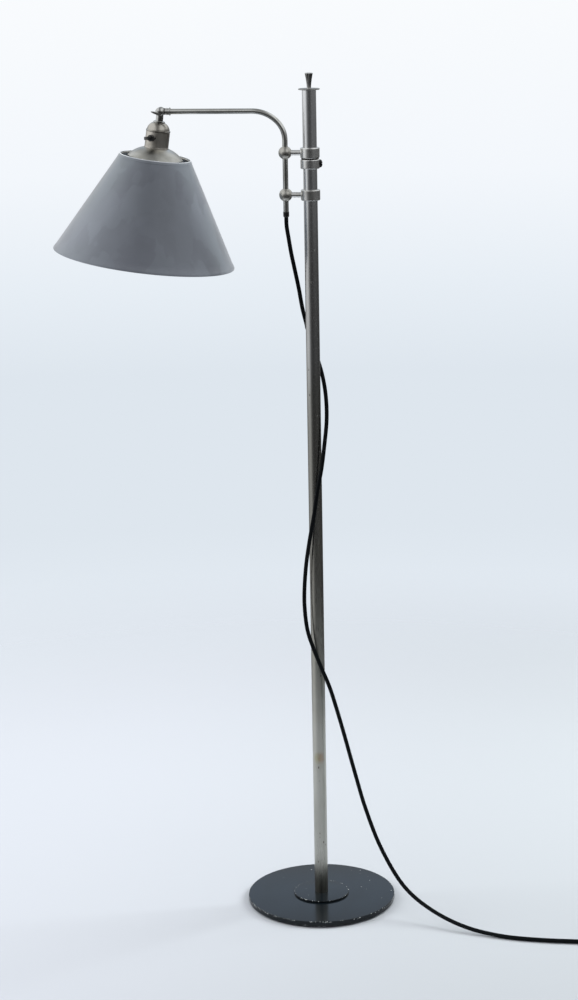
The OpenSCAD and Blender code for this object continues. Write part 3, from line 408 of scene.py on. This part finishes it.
def nickel(name, clean=(212, 212, 210), old=(184, 182, 178), rough=0.25, pitted=0.03):
    """Satin nickel: cloudy, a little tarnished, finely rubbed, with pits in a share of its cells."""
    f = Finish(name, Metallic=1.0)
    clouds = f.noise(30, 4)
    marks = f.noise(900, 2)
    f.set(Base_Color=f.shade(f.band(clouds, 0.42, 0.72), clean, old))
    f.set(Roughness=f.plus(f.range(clouds, rough - 0.06, rough + 0.06), f.range(marks, -0.05, 0.05)))
    f.bump(marks, 0.012 * MM, 0.2)
    f.bump(f.rest(f.specks(600, 0.35, pitted)), 0.03 * MM, 0.5)
    return f.material


# Heights on the pole: where a change of its colour begins, and where it is complete. The first is a painted
# highlight that lightens the pole's head.
POLE_PAINTED_HIGHLIGHT = (1.02, 1.20)
POLE_DARK_ABOVE, POLE_DARK_BELOW = (0.42, 0.58), (0.95, 0.80)
POLE_WARM = (1.0, 0.5)
POLE_PITTED = (0.30, 0.06)
# The pole grows darker towards its foot in these steps.
POLE_DARKER_FOOT = ((0.34, 0.12, 0.45), (0.08, 0.025, 0.55))      # two steps, each with its share
# One stain on the pole's front, of two colours, each with the X of its middle.
STAIN = ((-1.5 * MM, (170, 164, 118)), (4.5 * MM, (172, 136, 108)))
STAIN_Y, STAIN_Z = -10 * MM, 254 * MM
STAIN_SQUASH = 0.6       # its width over its height


def pole_stain(f, colour):
    """Draws the colour towards brown inside the stain, whose edge is ragged."""
    squashed = f.scaled((1, 1, STAIN_SQUASH))
    ragged = f.range(f.noise(250, 3), -3 * MM, 3 * MM)
    for x, brown in STAIN:
        reach = f.plus(f.distance(squashed, (x, STAIN_Y, STAIN_Z * STAIN_SQUASH)), ragged)
        colour = f.tint(colour, f.band(reach, 8 * MM, 2 * MM), brown, 0.5)
    return colour


def pole_nickel():
    """The pole's nickel: a painted highlight on its head, a darker middle, a warm and pitted foot, and long
    rubbing marks.
    """
    f = Finish("pole_nickel", Metallic=1.0)
    z = f.axes()[2]
    streaks = f.noise(1, 3, f.scaled((700, 700, 9)))
    clouds = f.noise(1, 4, f.scaled((45, 45, 14)))
    warm = f.band(z, *POLE_WARM)
    middle = f.times(f.band(z, *POLE_DARK_BELOW), f.band(z, *POLE_DARK_ABOVE))
    darker_foot = f.plus(*[f.times(f.band(z, start, full), share) for start, full, share in POLE_DARKER_FOOT])
    colour = f.shade(f.band(clouds, 0.4, 0.7), (213, 213, 212), (188, 187, 184))
    # A painted highlight: the head of the pole is drawn towards bluish white.
    colour = f.tint(colour, f.band(z, *POLE_PAINTED_HIGHLIGHT), (240, 241, 243), 0.65)
    colour = f.tint(colour, warm, (202, 200, 186), 0.6)
    colour = f.tint(colour, middle, (170, 168, 160), 0.7)
    colour = f.tint(colour, darker_foot, (118, 118, 112))
    colour = pole_stain(f, colour)
    low = f.times(f.band(z, *POLE_PITTED), f.band(f.noise(55, 2), 0.42, 0.62))
    pits = f.times(f.specks(230, 0.34, 0.30, f.scaled((1, 1, 0.6))), low)
    few = f.specks(170, 0.22, 0.07, f.scaled((1, 1, 0.5)))
    marks = f.most(pits, few)
    rough = f.plus(f.range(clouds, 0.19, 0.27), f.times(warm, 0.06), f.range(streaks, -0.04, 0.04))
    f.set(Base_Color=f.tint(colour, marks, (62, 52, 40), 0.75))
    f.set(Roughness=rough, Metallic=f.range(marks, 1.0, 0.3))
    f.bump(streaks, 0.008 * MM, 0.25)
    f.bump(f.rest(marks), 0.06 * MM, 0.6)
    return f.material


def enamel():
    """Dark semi-gloss enamel on the base, with small pale chips along its edges and a few specks."""
    f = Finish("base_enamel", Specular_IOR_Level=0.26)
    z = f.axes()[2]
    radius = f.radius()
    top_edge = f.times(f.band(radius, BASE_R - 1.7 * MM, BASE_R - 0.7 * MM),
                       f.band(f.away(z, BASE_TOP - 0.4 * MM), 1.7 * MM, 0.7 * MM))
    low_edge = f.times(f.band(radius, BASE_R - 1.5 * MM, BASE_R - 0.7 * MM),
                       f.band(z, BASE_LOW + 1.4 * MM, BASE_LOW + 0.6 * MM))
    boss_edge = f.times(f.band(f.away(radius, BOSS_R - 0.3 * MM), 1.3 * MM, 0.5 * MM),
                        f.band(z, BOSS_TOP - 1.2 * MM, BOSS_TOP - 0.5 * MM))
    worn = f.times(f.most(f.specks(230, 0.21, 0.85), f.specks(420, 0.30, 0.65)),
                   f.band(f.noise(60, 2), 0.30, 0.42))
    chips = f.times(f.most(top_edge, low_edge, boss_edge), worn)
    dust = f.most(f.specks(95, 0.10, 0.09), f.specks(260, 0.12, 0.015))
    pale = f.most(chips, f.times(dust, 0.8))
    smears = f.noise(1, 3, f.scaled((26, 11, 1)))
    colour = f.shade(f.noise(16, 4), (11, 17, 21), (15, 22, 27))
    f.set(Base_Color=f.tint(colour, pale, (214, 218, 216)))
    f.set(Roughness=f.plus(f.range(smears, 0.10, 0.24), f.times(pale, 0.4)))
    f.bump(f.noise(240, 2), 0.02 * MM, 0.35)
    f.bump(f.rest(chips), 0.12 * MM, 0.8)
    return f.material


FACETS = {"Rotation": (0, 0.6, 0), "Scale": (34, 34, 17)}      # radians, and facets in a metre


def card_facets(f, own):
    """A share from 0 to 1 that changes softly from one slanting facet of the card to the next."""
    slant = f.add("Mapping", {"Vector": own, **FACETS}).outputs[0]
    waver = f.add("TexNoise", {"Vector": slant, "Scale": 1.3}).outputs["Color"]
    bent = f.add("VectorMath", {0: slant, 1: waver}).outputs[0]
    cells = f.add("TexVoronoi", {"Vector": bent, "Scale": 1.0, "Smoothness": 0.2}, feature="SMOOTH_F1")
    return f.axes(cells.outputs["Color"])[0]


def shade_card():
    """Matt blue-grey laminated card: soft facets, faint patches, a fine tooth, and paler rims, partly the
    card's pale edge and partly a painted highlight.
    """
    f = Finish("shade_card", Specular_IOR_Level=0.6, Sheen_Weight=0.75, Sheen_Roughness=0.35)
    own = head_axes(f)
    patches = f.noise(11, 3, f.scaled((1.0, 1.0, 0.55), own), warp=0.4)
    greenish = f.band(f.noise(5, 2, own), 0.45, 0.7)
    down = f.times(f.axes(own)[2], -1.0)
    top_rim = f.band(down, SHADE_TOP_H + 1.1 * MM, SHADE_TOP_H + 0.5 * MM)
    low_rim = f.band(down, SHADE_LOW_H - 0.7 * MM, SHADE_LOW_H - 0.2 * MM)
    # The rims are paler: partly the card's pale edge, partly a painted highlight line along them.
    pale_rim_and_highlight = f.times(f.most(top_rim, f.times(low_rim, 0.5)), f.range(f.noise(70, 2), 0.55, 1.0))
    colour = f.shade(f.band(patches, 0.35, 0.65), (96, 100, 108), (109, 113, 122))
    colour = f.tint(colour, card_facets(f, own), (120, 126, 134), 0.62)
    colour = f.tint(colour, greenish, (98, 108, 109), 0.5)
    f.set(Base_Color=f.tint(colour, pale_rim_and_highlight, (214, 218, 222)))
    f.set(Roughness=f.range(patches, 0.40, 0.48))
    f.bump(f.noise(900, 3), 0.03 * MM, 0.5)
    f.bump(patches, 0.6 * MM, 0.35)
    return f.material


def plain(name, colour, rough, metallic=0.0, grain=300, depth=0.03, level=0.5, other=None, coat=0.0):
    """A finish with a fine grain, its depth in millimetres, and broad clouds in its colour and roughness."""
    f = Finish(name, Metallic=metallic, Specular_IOR_Level=level, Coat_Weight=coat)
    broad = f.noise(grain / 8, 3)
    second = other or tuple(min(255, 1.15 * c + 4) for c in colour)
    f.set(Base_Color=f.shade(f.band(broad, 0.3, 0.7), colour, second))
    f.set(Roughness=f.range(broad, rough - 0.07, rough + 0.07))
    f.bump(f.noise(grain, 4), depth * MM, 0.6)
    return f.material


def felt():
    """The dark pad under the base."""
    f = Finish("felt_pile", Sheen_Weight=0.5, Sheen_Roughness=0.6, Specular_IOR_Level=0.1)
    fibres = f.noise(1400, 4, warp=1.5)
    f.set(Base_Color=f.shade(fibres, (22, 28, 25), (44, 50, 46)))
    f.set(Roughness=f.range(fibres, 0.85, 1.0))
    f.bump(fibres, 0.3 * MM, 0.8)
    return f.material


def opal_glass():
    """The bulb's glass, coated white inside."""
    f = Finish("opal_glass", Coat_Weight=0.6, Coat_Roughness=0.06,
               Subsurface_Weight=0.15, Subsurface_Scale=4 * MM)
    powder = f.noise(60, 3)
    f.set(Base_Color=f.shade(powder, (232, 230, 222), (240, 238, 232)))
    f.set(Roughness=f.range(powder, 0.26, 0.34))
    f.bump(powder, 0.05 * MM, 0.2)
    return f.material


# One finish for each material slot of the record.
FINISHES = {
    "nickel": nickel("satin_nickel"),
    "enamel": enamel(),
    "felt": felt(),
    "steel": plain("zinc_steel", (150, 150, 148), 0.38, metallic=1.0),
    "black_steel": plain("black_steel", (34, 34, 35), 0.36, metallic=0.6, depth=0.02),
    "fibre": plain("pressed_fibre", (34, 31, 29), 0.75, grain=700, depth=0.05, other=(46, 42, 38)),
    "lead": plain("lead_sleeve", (120, 74, 44), 0.55),
    "black_plastic": plain("black_phenolic", (17, 17, 18), 0.26, grain=220, depth=0.01, coat=0.25),
    "brass": plain("dull_brass", (176, 146, 84), 0.36, metallic=1.0, other=(150, 118, 66)),
    "wire": plain("tinned_wire", (160, 158, 152), 0.4, metallic=1.0),
    "shade": shade_card(),
    "bulb_metal": plain("bulb_metal", (186, 184, 178), 0.3, metallic=1.0),
    "glass": opal_glass(),
    "cord": plain("cord_rubber", (4, 7, 10), 0.55, grain=900, depth=0.02, level=0.12, other=(7, 10, 13)),
    "pin_metal": plain("pin_nickel", (200, 198, 190), 0.22, metallic=1.0),
}

# The nodes whose nickel is worn or worked in its own way, or is darkened or brightened as painted shade or
# painted highlight.
OWN_FINISHES = (
    (pole_nickel(), ["pole"]),
    (nickel("holder_nickel", (186, 182, 174), (150, 146, 138), 0.27), ["holder_cap"]),
    (nickel("shell_nickel", (208, 203, 194), (172, 167, 156), 0.40), ["holder_shell"]),
    (nickel("spun_nickel", (192, 192, 187), (160, 159, 152), 0.34, pitted=0.01), ["dome_fitter"]),
    # The cap disc's nickel is darkened as painted shade.
    (nickel("cap_nickel_painted_shade", (158, 158, 155), (130, 128, 124), 0.34), ["cap_disc"]),
    (nickel("arm_nickel", (206, 206, 202), (178, 177, 171), 0.20, pitted=0.0), ["arm_tube"]),
    # The balls' nickel is darkened as painted shade, dimming the floor they mirror; its warmer tone is their
    # own.
    (nickel("ball_nickel_painted_shade", (186, 184, 177), (152, 149, 141), 0.36, pitted=0.01),
     ["ball_upper", "ball_lower"]),
    # The knuckle's nickel is darkened as painted shade on its face.
    (nickel("turned_nickel_painted_shade", (194, 194, 191), (162, 160, 156), 0.17, pitted=0.0),
     ["knuckle_arm_half", "knuckle_head_half", "clamp_lever_screw"]),
    # The rings' nickel is brightened as a painted highlight, standing in for the gleam of their turned
    # grooves.
    (nickel("ring_nickel_painted_highlight", (234, 234, 232), (206, 205, 201), 0.28, pitted=0.0),
     ["ring_upper", "ring_lower", "stop_collar", "stub_upper", "stub_lower"]),
)


def paint(made, material):
    made.data.materials.clear()
    made.data.materials.append(material)


def dress(made, slot, material=None):
    """A new piece goes by a slot of the record, and has that slot's finish or one of its own."""
    paint(made, material or FINISHES[slot])


def stand_for(made, node, body, slot, material=None):
    """A new piece takes a CAD node's place on its body."""
    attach(made, body)
    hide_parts(node)
    dress(made, slot, material)


for node in NODES.values():
    node.material_slots[0].material = FINISHES[node.material_slots[0].name]
for material, names in OWN_FINISHES:
    for name in names:
        NODES[name].material_slots[0].material = material
for cord in cords:
    dress(cord, "cord")


# ---------------------------------------------------------------- pieces
SCREW_HOLE_R, SCREW_SINK_R = 5.05 * MM, 10.05 * MM
SCREW_SINK = 5 * MM      # height of the countersink
BASE_ROUND, BOSS_ROUND = 1.1 * MM, 0.7 * MM
THIN = 0.05 * MM         # the countersink's short upright edge, and the gap round the pole


def make_base():
    """The base plate and the raised disc, with softened enamelled edges."""
    outline = ([(SCREW_HOLE_R, BASE_LOW + SCREW_SINK), (SCREW_HOLE_R, BASE_TOP)]
               + arc(BASE_R - BASE_ROUND, BASE_TOP - BASE_ROUND, BASE_ROUND, 90, 0)
               + arc(BASE_R - BASE_ROUND, BASE_LOW + BASE_ROUND, BASE_ROUND, 0, -90)
               + [(SCREW_SINK_R, BASE_LOW), (SCREW_SINK_R, BASE_LOW + THIN)])
    plate = lathe("base_plate_enamelled", outline, even_angles(288), sharp=30)
    stand_for(plate, "base_plate", "root", "enamel")
    outline = ([(POLE_R + THIN, BASE_TOP), (BOSS_R, BASE_TOP)]
               + arc(BOSS_R - BOSS_ROUND, BOSS_TOP - BOSS_ROUND, BOSS_ROUND, 0, 90)
               + [(POLE_R + THIN, BOSS_TOP)])
    boss = lathe("boss_disc_enamelled", outline, even_angles(192), sharp=30)
    stand_for(boss, "boss_disc", "root", "enamel")


SHADE_WALL = 1.1 * MM
SEAM = math.radians(96)          # direction of the overlap, from +X towards +Y
SEAM_RISE = 0.45 * MM
SEAM_SPREAD = math.radians(30)   # the stretch over which the card rises to it
SEAM_EDGE = 0.3 * MM             # how wide the step down from it is, at the low rim
HEM_H, HEM_RISE = 4.5 * MM, 0.3 * MM
HEM_STEP = 0.4 * MM              # from the hem's edge to the plain card
RIM_DROP = 0.12 * MM             # height that the rim's two softened corners take up
RIM_OUT, RIM_IN = 0.25 * MM, 0.2 * MM      # and the width of the outer and of the inner one
RIM_INSIDE = 0.5 * MM            # from the rim to the plain card inside


def make_shade():
    """The card cone: one overlapped seam at the back, and a folded hem at each rim."""
    slope = math.atan2(SHADE_LOW_R - SHADE_TOP_R, SHADE_H)
    across = SHADE_WALL / math.cos(slope)

    def outer(h):
        return SHADE_TOP_R + (h - SHADE_TOP_H) * math.tan(slope)

    def at(h, out=0.0, lift=0.0):
        """A point that far out from the cone's outside at height h, and then lifted."""
        return outer(h) + out, lift - h

    def rim(h, way):
        """From the plain card outside over a rim to the plain card inside. way is 1 low, -1 at the top."""
        return [at(h - way * (HEM_H + HEM_STEP)),
                at(h - way * HEM_H, HEM_RISE),
                at(h - way * SHADE_WALL / 2, HEM_RISE),
                at(h, HEM_RISE - RIM_OUT, way * RIM_DROP),
                at(h, -across / 2),
                at(h, RIM_IN - across, way * RIM_DROP),
                at(h - way * RIM_INSIDE, -across)]

    def overlap(radius, height, angle):
        lap = (SEAM - angle) % (2 * math.pi)
        rise = max(0, 1 - lap / SEAM_SPREAD)
        inner = radius < outer(-height) - across * 0.75
        return radius + (0 if inner else SEAM_RISE * rise), height

    between = [at(SHADE_TOP_H + SHADE_H * k / 12) for k in range(1, 12)]
    outline = rim(SHADE_TOP_H, -1)[::-1] + between + rim(SHADE_LOW_H, 1)
    angles = sorted(even_angles(240) + [SEAM, SEAM + SEAM_EDGE / SHADE_LOW_R])
    cone = lathe("shade_cone", outline, angles, sharp=30, place=HEAD, shape=overlap)
    stand_for(cone, "shade", "head", "shade")


FINIAL_STUD_R, FINIAL_FOOT_R, FINIAL_TOP_R = 2.5 * MM, 3.3 * MM, 6.35 * MM
FINIAL_FLARE = 1.6       # the power with which it widens upwards
FINIAL_RIM = 0.9 * MM    # height and width of its softened rim
FINIAL_STEPS = 24
FLUTES = 10
FLUTE_FLAT = 0.75        # share of the way from a round outline to one with flat sides
FLUTE_DEPTH = 0.10       # share of the radius that each flute is hollowed by


def make_finial():
    """The flared, fluted button on the pole's cap."""
    stud_low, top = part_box("finial")[0].z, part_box("finial")[1].z
    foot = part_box("cap_disc")[1].z
    outline = [(0, stud_low), (FINIAL_STUD_R, stud_low), (FINIAL_STUD_R, foot)]
    for i in range(FINIAL_STEPS + 1):
        t = i / FINIAL_STEPS
        radius = FINIAL_FOOT_R + (FINIAL_TOP_R - FINIAL_FOOT_R) * t ** FINIAL_FLARE
        outline.append((radius, foot + t * (top - foot - FINIAL_RIM)))
    outline += [(FINIAL_TOP_R - 0.25 * MM, top - 0.3 * MM), (FINIAL_TOP_R - FINIAL_RIM, top), (0, top)]

    def flutes(radius, z, angle):
        if z <= foot:
            return radius, z
        turn = math.pi / FLUTES
        part = (angle % (2 * turn)) - turn
        flat = math.cos(turn) / math.cos(part)
        hollow = math.cos(part / turn * math.pi / 2) ** 2
        return radius * (1 - FLUTE_FLAT + FLUTE_FLAT * flat) * (1 - FLUTE_DEPTH * hollow), z

    made = lathe("finial_fluted", outline, even_angles(16 * FLUTES), sharp=50, shape=flutes)
    metal = nickel("finial_nickel", (190, 190, 188), (150, 148, 144), 0.20)
    stand_for(made, "finial", "root", "nickel", metal)


make_base()
make_shade()
make_finial()


# ---------------------------------------------------------------- floor
FLOOR_R, FLOOR_Z = 3.2, -0.2 * MM
# The right half of the floor is darkened as painted shade, against the rim lamp's light there.
FLOOR_LEFT, FLOOR_RIGHT_SHADED = (0.600, 0.622, 0.668, 1), (0.512, 0.538, 0.566, 1)
FLOOR_CHANGE = (-0.6, 0.5)       # the X where the left colour ends, and where the right one begins
SEEN_FADE = (2.1, 0.9)           # radii where the floor is gone, and where it is whole, for the eye
MIRROR_FADE = (1.3, 0.5)         # and for what metal mirrors


def make_floor():
    """A pale floor that fades out into the world's like colour."""
    points = [(FLOOR_R * math.cos(a), FLOOR_R * math.sin(a), FLOOR_Z) for a in even_angles(64)]
    floor = new_mesh("floor", points, [list(range(64))])
    f = Finish("floor_pale", Specular_IOR_Level=0.0, Roughness=1.0)
    radius = f.radius()
    shiny = f.add("LightPath").outputs["Is Glossy Ray"]
    mirrored = f.times(shiny, f.band(radius, *MIRROR_FADE))
    seen = f.times(f.rest(shiny), f.band(radius, *SEEN_FADE))
    # Painted shade: the floor is darker to the right, where the rim lamp lights it.
    colour = f.mix(f.band(f.axes()[0], *FLOOR_CHANGE), FLOOR_LEFT, FLOOR_RIGHT_SHADED)
    f.set(Base_Color=colour, Alpha=f.plus(mirrored, seen))
    paint(floor, f.material)


# ---------------------------------------------------------------- world
# Heights are the Z of a direction here: 0 is level, 1 straight up and -1 straight down.
BACKDROP_SPAN = (-0.45, 0.0)
BACKDROP = (             # shares of the span, and display colours
    (0.0, (221, 230, 236)), (0.30, (231, 238, 246)), (0.44, (222, 230, 238)), (0.58, (222, 230, 238)),
    (0.66, (231, 238, 245)), (0.76, (243, 247, 252)), (0.95, (250, 252, 254)))
LIGHT_LEFT, LIGHT_RIGHT = (0.52, 0.53, 0.55, 1), (0.36, 0.365, 0.38, 1)
ROOM_COLOUR, SKY_COLOUR = (0.98, 1.0, 1.02, 1), (0.88, 1.07, 1.32, 1)
BLACK = (0, 0, 0, 1)
WALL_DIM = 0.036         # how light the darkest walls are
CEILING = (0.12, 0.45)   # the height where the walls end, and where the ceiling is complete


def backdrop(g, z):
    """The pale colour that the eye sees behind the lamp."""
    share = g.add("MapRange", {"Value": z, "From Min": BACKDROP_SPAN[0], "From Max": BACKDROP_SPAN[1]})
    ramp = g.add("ValToRGB", {"Fac": share.outputs[0]})
    stops = ramp.color_ramp.elements
    for stop, (position, colour) in ((stops[0], BACKDROP[0]), (stops[1], BACKDROP[-1])):
        stop.position = position
        stop.color = srgb(*colour)
    for position, colour in BACKDROP[1:-1]:
        stops.new(position).color = srgb(*colour)
    return ramp.outputs["Color"]


def wall_light(g, z, turn):
    """The walls that metal mirrors: lit to the left, a little to the right and at the back, or dim.

    turn is in degrees round the lamp: 0 towards the camera, 90 to its left, -90 to its right.
    """
    high = g.band(z, -0.11, -0.065)
    heights = g.plus(g.range(g.band(z, -0.24, -0.15), 0.26, 0.74), g.times(high, 0.36),
                     g.times(g.band(z, -0.28, -0.34), 0.12))
    left = g.plus(g.times(g.band(turn, 8, 34), 0.08), g.times(g.band(turn, 30, 75), 0.86))
    left = g.times(left, g.band(turn, 165, 102), heights)
    dim = g.plus(WALL_DIM, g.times(high, 0.04))
    right = g.times(g.band(turn, -15, -45), g.band(z, -0.102, -0.08), 0.14)
    back = g.times(g.band(g.math("ABSOLUTE", turn), 135, 170), 0.35)
    return g.plus(left, dim, g.most(right, back))


def skylight(g, z, aside, front):
    """The share of a bluish window high up at the back."""
    return g.times(g.band(aside, 0.40, 0.22), g.band(front, -0.55, -0.75),
                   g.band(z, 0.27, 0.34), g.band(z, 0.56, 0.47))


def ceiling_light(g, aside, front, sky):
    """The ceiling that metal mirrors: lit at both sides and at the back."""
    sides = g.range(g.band(aside, 0.1, 0.5), 0.28, 1.15)
    back = g.times(g.band(front, -0.3, -0.8), 0.64)
    return g.most(sides, back, g.times(sky, 0.78))


def make_world():
    """The studio: a pale backdrop for the eye, a room for metal to mirror, and a soft light from around."""
    world = bpy.data.worlds.new("studio")
    bpy.context.scene.world = world
    g = Graph(world)
    way = g.add("TexCoord").outputs["Generated"]
    z = g.axes(way)[2]
    side = math.radians(VIEW_SIDE)
    left = g.dot(way, (-math.cos(side), -math.sin(side), 0))
    front = g.dot(way, (math.sin(side), -math.cos(side), 0))
    turn = g.math("DEGREES", g.math("ARCTAN2", left, front))
    aside = g.math("ABSOLUTE", left)
    sky = skylight(g, z, aside, front)
    level = g.plus(g.times(g.band(z, *CEILING[::-1]), wall_light(g, z, turn)),
                   g.times(g.band(z, *CEILING), ceiling_light(g, aside, front, sky)))
    room = g.mix(level, BLACK, g.mix(sky, ROOM_COLOUR, SKY_COLOUR))
    light = g.mix(g.band(left, -0.3, 0.6), LIGHT_RIGHT, LIGHT_LEFT)
    ray = g.add("LightPath").outputs
    colour = g.mix(g.most(ray["Is Glossy Ray"], ray["Is Transmission Ray"]), light, room)
    colour = g.mix(ray["Is Camera Ray"], colour, backdrop(g, z))
    g.give(g.tree.nodes["Background"].inputs["Color"], colour)


# ---------------------------------------------------------------- lamps
def make_lamp(name, place, aim, size, power, colour=(1, 1, 1)):
    """A soft rectangular lamp, its power in watts. It isn't seen or mirrored itself."""
    data = bpy.data.lights.new(name, "AREA")
    data.shape = "RECTANGLE"
    data.size, data.size_y = size
    data.energy, data.color = power, colour
    lamp = bpy.data.objects.new(name, data)
    lamp.location = place
    lamp.rotation_euler = (Vector(aim) - Vector(place)).to_track_quat("-Z", "Y").to_euler()
    lamp.visible_camera = lamp.visible_glossy = False
    bpy.context.scene.collection.objects.link(lamp)


make_floor()
make_world()
make_lamp("key", place=(-2.8, 0.1, 1.9), aim=(-0.1, 0, 0.8),
          size=(1.6, 2.4), power=76, colour=(0.98, 1.0, 1.0))
make_lamp("rim", place=(1.6, 0.95, 1.6), aim=(-0.2, 0, 1.15),
          size=(0.8, 1.4), power=48, colour=(0.96, 1.0, 1.0))
make_lamp("top", place=(0.0, 0.4, 3.3), aim=(0, 0, 0),
          size=(2.6, 2.6), power=28)
bpy.context.scene.view_settings.view_transform = "Standard"
